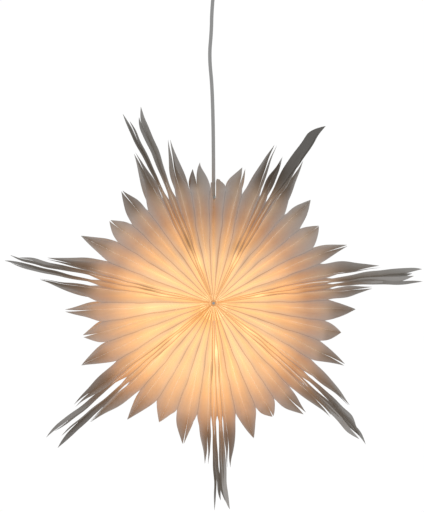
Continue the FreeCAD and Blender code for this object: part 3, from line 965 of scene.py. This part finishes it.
# Leaves that have settled in a way of their own, by glue line and side: those round the
# cord, and the broad sabre of the upper right spike with its short neighbour.
SETTLED = {
    (25, -1): Droop(-3.0, -0.004, 0.9, 0.06),
    (25, 1): Droop(4.0, 0.004, 0.4, 0.02, bulge=0.4, shade=0.9),
    (26, -1): Droop(0.0, -0.002, 0.6, 0.0, bulge=0.3, shade=0.9),
    (26, 1): Droop(0.0, 0.002, -0.6, 0.3, shade=0.8),
    (27, -1): Droop(0.0, -0.003, 2.1, 0.0, bulge=0.4, shade=0.95),
    (27, 1): Droop(4.0, 0.020, 1.2, 0.16, bulge=0.6, shade=0.5),
    (22, -1): Droop(43.0, 0.0, 0.0, slant=-1.0, shade=0.30),
    (22, 1): Droop(44.0, 0.002, 0.0, slant=-1.0, shade=0.30),
    (23, -1): Droop(-7.0, 0.0, 0.0, shade=0.35),
    (23, 1): Droop(-7.0, 0.0, 0.0, 0.03, shade=0.5),
}

# The same spike's leaves that are cut in a way of their own.
RECUT = {
    (22, -1): LeafKind.LONG,
    (22, 1): LeafKind.LONG,
    (23, -1): LeafKind.MIDDLE,
    (23, 1): LeafKind.MIDDLE,
}

SEAM_MAGNETS = ("seam_magnets_right", "seam_magnets_left")


@dataclass
class PaperStar:
    """The star's paper: forty-nine cells round the axle.

    Attributes:
        centre: The star's centre in the frame, in metres.
        finish: The paper's material.
        stock: The paper's shared sizes.
        light: The lamp as it shows through.
        core_pitch: The angle of a spike's narrow cells, in degrees.
        seam: The heading where the fan closes on itself, in degrees.
        squash_keep: What the folded fan keeps of a cell's width; not used.
        rows_inside: A leaf's rows of points up to the folds' end.
        rows_outside: Its rows from there to the tip.
        columns: Its points from the front fold to the rear one.
        weld_reach: How near two points lie that are welded into one, in metres.
    """

    centre: Array
    finish: bpy.types.Material
    stock: PaperStock = field(default_factory=PaperStock)
    light: LampLight = field(default_factory=LampLight)
    core_pitch: float = 3.21
    seam: float = 450.0
    squash_keep: float = 0.08
    rows_inside: int = 34
    rows_outside: int = 34
    columns: int = 29
    weld_reach: float = 0.00001

    def build(self, bodies: dict[str, list[str]]) -> int:
        """Builds every cell and hides the plain ones that it stands for.

        Args:
            bodies: The frame's bodies with their nodes.

        Returns:
            How many groups of leaves were made.
        """
        groups = self.cells(self.glue_lines())
        body_of = {node: body for body, nodes in bodies.items() for node in nodes}
        for name, cells in groups:
            self.piece(name, body_of[name], cells)
            for held in SEAM_MAGNETS:
                if body_of[held] == body_of[name]:
                    self.magnets(held, body_of[held])
        return len(groups)

    def glue_lines(self) -> list[GlueLine]:
        """The forty-nine glue lines in order, from the lower spike round to it again."""
        lines: list[GlueLine] = []
        half = 1.5 * self.core_pitch
        petals = (LeafKind.SIDE, LeafKind.LOW, LeafKind.SIDE)
        blades = (LeafKind.MIDDLE, LeafKind.LONG, LeafKind.LONG, LeafKind.MIDDLE)
        for i, spike in enumerate(SPIKES):
            reaches = [millimetres / 1000.0 for millimetres in spike.reaches]
            for step, (tip, kind) in enumerate(zip(spike.blades, blades)):
                rest = spike.core - half + step * self.core_pitch
                lines.append(GlueLine(len(lines), rest, tip, reaches[step], kind))
            after = SPIKES[i + 1].core if i + 1 < len(SPIKES) else SPIKES[0].core + 360.0
            start, end = spike.core + half, after - half
            middle = self.seam if start < self.seam < end else (start + end) / 2.0
            rests = ((start + middle) / 2.0, middle, (middle + end) / 2.0)
            for rest, tip, reach, kind in zip(rests, spike.petals, reaches[4:], petals):
                lines.append(GlueLine(len(lines), rest, tip, reach, kind))
        return lines

    def cells(self, lines: list[GlueLine]) -> list[tuple[str, list[Cell]]]:
        """Groups the cells by the frame's node that they stand for.

        Args:
            lines: The glue lines in order.

        Returns:
            Node names, each with its cells.
        """
        groups = []
        first = lines[0]
        turned = replace(first, rest=first.rest + 360.0, tip=first.tip + 360.0)
        closed = [*lines, turned]
        for i, spike in enumerate(SPIKES):
            core = closed[7 * i : 7 * i + 4]
            pairs = zip(core, core[1:])
            cells = [(low, high, self.core_crease(low, high)) for low, high in pairs]
            groups.append((f"bag_core_{spike.name}", cells))
            wide = closed[7 * i + 3 : 7 * i + 8]
            for k, (low, high, end) in enumerate(zip(wide, wide[1:], spike.folds)):
                crease = Crease((low.rest + high.rest) / 2.0, end, 0.0, low.seed + 5)
                groups.append((self.wide_name(spike.name, k), [(low, high, crease)]))
        return groups

    def wide_name(self, spike: str, index: int) -> str:
        """The node of a spike's wide cell, which is split in two rows at the seam."""
        if spike != "upper_right":
            return f"bag_{spike}_{index + 1}"
        return f"bag_{spike}_{'ab'[index // 2]}_{index % 2 + 1}"

    def core_crease(self, low: GlueLine, high: GlueLine) -> Crease:
        """A narrow cell's folds, which end between its lines and are pinched together."""
        follows = 0.35
        lean = follows * ((low.tip - low.rest) + (high.tip - high.rest)) / 2.0
        middle = (low.rest + high.rest) / 2.0
        pinch = np.random.default_rng(low.seed + 3).uniform(0.004, 0.022)
        return Crease(middle, middle + lean, pinch, low.seed + 9)

    def droop(self, line: GlueLine, side: int) -> Droop:
        """How the leaf on one side of a glue line has curled."""
        settled = SETTLED.get((line.index, side))
        if settled is not None:
            return settled
        random = np.random.default_rng(line.seed * 2 + side)
        twist, nod = random.uniform(-1.0, 1.0), random.uniform(-1.0, 1.0)
        part, slant = random.uniform(0.0, 1.0), random.choice((-1.0, 1.0))
        # Each leaf's painted shade.
        shade = random.uniform(0.50, 0.96)
        if line.kind is LeafKind.LONG:
            turn = 8.0 * np.sign(twist) + 20.0 * twist
            part = 0.1 + 0.9 * part
            return Droop(turn, nod=0.012 * nod, part=part, slant=slant, shade=shade)
        if line.kind is LeafKind.MIDDLE:
            turn = 3.0 * np.sign(twist) + 7.0 * twist
            return Droop(turn, nod=0.010 * nod, part=0.6 * part, shade=shade)
        shade, bulge = 0.3 + 0.7 * shade, 0.15 * part
        part = 0.9 * max(part - 0.6, 0.0) / 0.4
        return Droop(4.0 * twist, nod=0.004 * nod, part=part, bulge=bulge, shade=shade)

    def leaf(self, line: GlueLine, crease: Crease, side: int) -> Leaf:
        """The leaf on one side of a glue line; long lines are blunt on alternate sides."""
        kind = line.kind
        if kind is LeafKind.LONG and (side > 0) == (line.index % 2 > 0):
            kind = LeafKind.BLUNT
        kind = RECUT.get((line.index, side), kind)
        at_seam = math.isclose(line.rest, self.seam)
        return Leaf(line, crease, side, kind, self.droop(line, side), at_seam)

    def piece(self, name: str, body: str, cells: list[Cell]) -> None:
        """Builds one node's cells as one welded mesh with a paper's thickness.

        Args:
            name: The frame's node that it stands for.
            body: The body that it rides on.
            cells: Its cells.
        """
        points, faces, colours, painted_shades, count = [], [], [], [], 0
        for low, high, crease in cells:
            heading = math.radians(crease.rest)
            narrow = high.rest - low.rest < 2.0 * self.core_pitch
            for line, side in ((low, 1), (high, -1)):
                leaf = self.leaf(line, crease, side)
                size = (self.rows_inside, self.rows_outside, self.columns)
                grid = leaf.surface(self.stock, *size)
                points.append(grid.points.reshape(-1, 3) + self.centre)
                colours.append(self.light.colour(grid, heading, narrow).reshape(-1, 3))
                # Painted shade for the base colour.
                painted_shades.append(self.light.whiteness(grid).ravel())
                faces.append(grid.faces(flip=side > 0) + count)
                count += grid.r.size
        mesh = bpy.data.meshes.new(f"leaves_{name}")
        mesh.from_pydata(np.vstack(points), [], np.vstack(faces).tolist())
        lamplight = mesh.attributes.new("lamplight", "FLOAT_COLOR", "POINT")
        rgba = np.column_stack([np.vstack(colours), np.ones(count)])
        lamplight.data.foreach_set("color", rgba.astype(np.float32).ravel())
        whiteness = mesh.attributes.new("whiteness", "FLOAT", "POINT")
        whiteness.data.foreach_set("value", np.concatenate(painted_shades).astype(np.float32))
        mesh.shade_smooth()
        mesh.materials.append(self.finish)
        piece = place(f"leaves_{name}", mesh)
        weld = piece.modifiers.new("weld", "WELD")
        weld.merge_threshold = self.weld_reach
        sheet = piece.modifiers.new("sheet", "SOLIDIFY")
        sheet.thickness, sheet.offset = self.stock.thickness, 0.0
        self.mount(piece, name, body)

    def magnets(self, name: str, body: str) -> None:
        """Stands in for a leaf's magnets on the same body."""
        plain = bpy.data.objects[name]
        mesh = plain.data.copy()
        mesh.transform(plain.matrix_world)
        self.mount(place(f"discs_{name}", mesh), name, body)

    def mount(
        self,
        piece: bpy.types.Object,
        name: str,
        body: str,
    ) -> None:
        """Lets a piece ride its body and stand for its node."""
        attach(piece, body)
        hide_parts(name)
        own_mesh(piece)


# ---- the hardware


@dataclass
class Cord:
    """The round lamp cord, which the star's weight holds taut.

    Attributes:
        diameter: Its diameter, in metres.
        route: Its points as x and z, from the ceiling swivel to the holder.
        finish: Its material.
    """

    finish: bpy.types.Material
    diameter: float = 0.0058
    route: tuple[tuple[float, float], ...] = (
        (0.0, -0.064),
        (-0.0029, -0.095),
        (-0.0034, -0.129),
        (-0.0072, -0.171),
        (-0.0018, -0.223),
        (0.0004, -0.343),
        (0.0, -0.499),
    )

    def build(self) -> bpy.types.Object:
        """Returns:
            The cord's curve object.
        """
        curve = bpy.data.curves.new("lamp_cord", "CURVE")
        curve.dimensions = "3D"
        curve.bevel_depth = self.diameter / 2.0
        curve.bevel_resolution = 6
        curve.resolution_u = 24
        curve.use_fill_caps = True
        spline = curve.splines.new("NURBS")
        spline.points.add(len(self.route) - 1)
        for point, (x, z) in zip(spline.points, self.route):
            point.co = (x, 0.0, z, 1.0)
        spline.order_u = 3
        spline.use_endpoint_u = True
        curve.materials.append(self.finish)
        cord = place("lamp_cord", curve)
        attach(cord, "pendulum")
        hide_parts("cord")
        x, z = self.route[0]
        return cord


@dataclass
class Hardware:
    """The ceiling fitting, the lamp holder, the bulb and the star's frame.

    Attributes:
        marks: The handling marks group.
    """

    marks: bpy.types.NodeTree

    def dress(self) -> int:
        """Gives every piece of hardware its finish.

        Returns:
            How many pieces were dressed.
        """
        white = Finish("moulded_white", (0.80, 0.80, 0.78), 0.32, marks=0.20)
        steel = Finish("zinc_plated_steel", (0.58, 0.58, 0.60), 0.24, 1.0, marks=0.35)
        wire = Finish("drawn_steel_wire", (0.50, 0.50, 0.52), 0.22, 1.0, marks=0.25)
        magnet = Finish("nickel_plate", (0.62, 0.60, 0.56), 0.14, 1.0, marks=0.20)
        brass = Finish("rolled_brass", (0.66, 0.46, 0.16), 0.22, 1.0, marks=0.35)
        dark = Finish("vitrite", (0.010, 0.009, 0.008), 0.18, marks=0.15)
        opal = Finish(
            "lit_opal_globe",
            (0.90, 0.86, 0.80),
            0.30,
            marks=0.10,
            glow=(1.0, 0.64, 0.33),
            glow_strength=1.5,
        )
        wearing = {
            white: (
                "ceiling_cup", "terminal_block", "outlet_bush", "outlet_nut", "swivel_ball",
                "cord_grip", "holder_cap", "holder_body", "holder_insert", "shade_ring",
                "bulb_neck", "front_spool", "rear_spool",
            ),
            steel: ("ceiling_plate", "cup_screws", "hanger_disc"),
            wire: ("yoke_wires",),
            magnet: tuple(f"discs_{name}" for name in SEAM_MAGNETS),
            brass: ("thread_shell", "bulb_screw_cap", "bulb_contact"),
            dark: ("bulb_insulator",),
            opal: ("bulb_globe",),
        }
        for finish, names in wearing.items():
            material = finish.build(self.marks)
            for name in names:
                for held in bpy.data.objects[name].material_slots:
                    held.material = material
        return sum(len(names) for names in wearing.values())


# ---- the studio


@dataclass
class Studio:
    """A white room with soft light, a pale floor and a level camera in front.

    Attributes:
        centre: The star's centre, in metres.
        distance: From the camera to the star.
        right: How far the camera stands to the right of the star's centre.
        above: How far it stands above it.
        view_width: The width of the view at the star, in metres.
        room_light: How strongly the room lights the star.
        backdrop: How bright the room looks behind it.
        floor_half: Half the floor's side, in metres.
        floor_below: How far the floor lies under the lowest tip, in metres.
    """

    centre: Array
    distance: float = 3.0
    right: float = -0.0025
    above: float = 0.0758
    view_width: float = 0.6983
    room_light: float = 0.40
    backdrop: float = 1.02
    floor_half: float = 4.0
    floor_below: float = 0.80

    def light_room(self) -> None:
        """Makes a world that looks white and lights the paper only softly."""
        world = bpy.data.worlds.new("white_room")
        bpy.context.scene.world = world
        world.use_nodes = True
        tree = world.node_tree
        background = tree.nodes["Background"]
        plug(background, Color=(1.0, 1.0, 1.0, 1.0))
        seen = node(tree, "LightPath").outputs["Is Camera Ray"]
        level = node(tree, "MapRange", Value=seen)
        plug(level, To_Min=self.room_light, To_Max=self.backdrop)
        plug(background, Strength=level.outputs["Result"])

    def lay_floor(self) -> None:
        """Lays a wide pale floor well below the star."""
        side, height = self.floor_half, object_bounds()[0][2] - self.floor_below
        corners = [(-side, -side), (side, -side), (side, side), (-side, side)]
        mesh = bpy.data.meshes.new("floor")
        mesh.from_pydata([(x, y, height) for x, y in corners], [], [(0, 1, 2, 3)])
        material, shader = new_material("pale_floor")
        plug(shader, Base_Color=(0.85, 0.85, 0.85, 1.0), Roughness=0.9)
        mesh.materials.append(material)
        place("floor", mesh)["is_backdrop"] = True

    def set_camera(self) -> None:
        """Puts a long-lens camera level in front of the star."""
        data = bpy.data.cameras.new("camera")
        data.sensor_fit = "HORIZONTAL"
        data.lens = data.sensor_width * self.distance / self.view_width
        camera = place("camera", data)
        camera.location = self.centre + np.array((self.right, -self.distance, self.above))
        camera.rotation_euler = (math.pi / 2.0, 0.0, 0.0)
        bpy.context.scene.camera = camera

    def build(self) -> None:
        """Sets up the whole studio."""
        self.set_camera()
        self.light_room()
        self.lay_floor()
        bpy.context.scene.view_settings.view_transform = "Standard"


def main() -> None:
    """Builds the star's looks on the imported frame."""
    logging.basicConfig(level=logging.INFO, format="%(message)s")
    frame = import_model()
    joints = {joint["name"]: joint for joint in frame["joints"]}
    centre = np.array(joints["fan_fold"]["pos_m"], float)
    Studio(centre).build()
    marks = make_handling_group()
    sheath = Finish("cord_sheath", (0.74, 0.74, 0.73), 0.42, marks=0.25)
    cord = Cord(sheath.build(marks)).build()
    LOG.info("cord: %s", cord.name)
    paper = PaperFinish().build(make_fibre_group())
    bodies = frame["record"]["behaviour"]["bodies"]
    LOG.info("paper: %d groups of leaves", PaperStar(centre, paper).build(bodies))
    LOG.info("hardware: %d pieces dressed", Hardware(marks).dress())


if __name__ == "__main__":
    main()
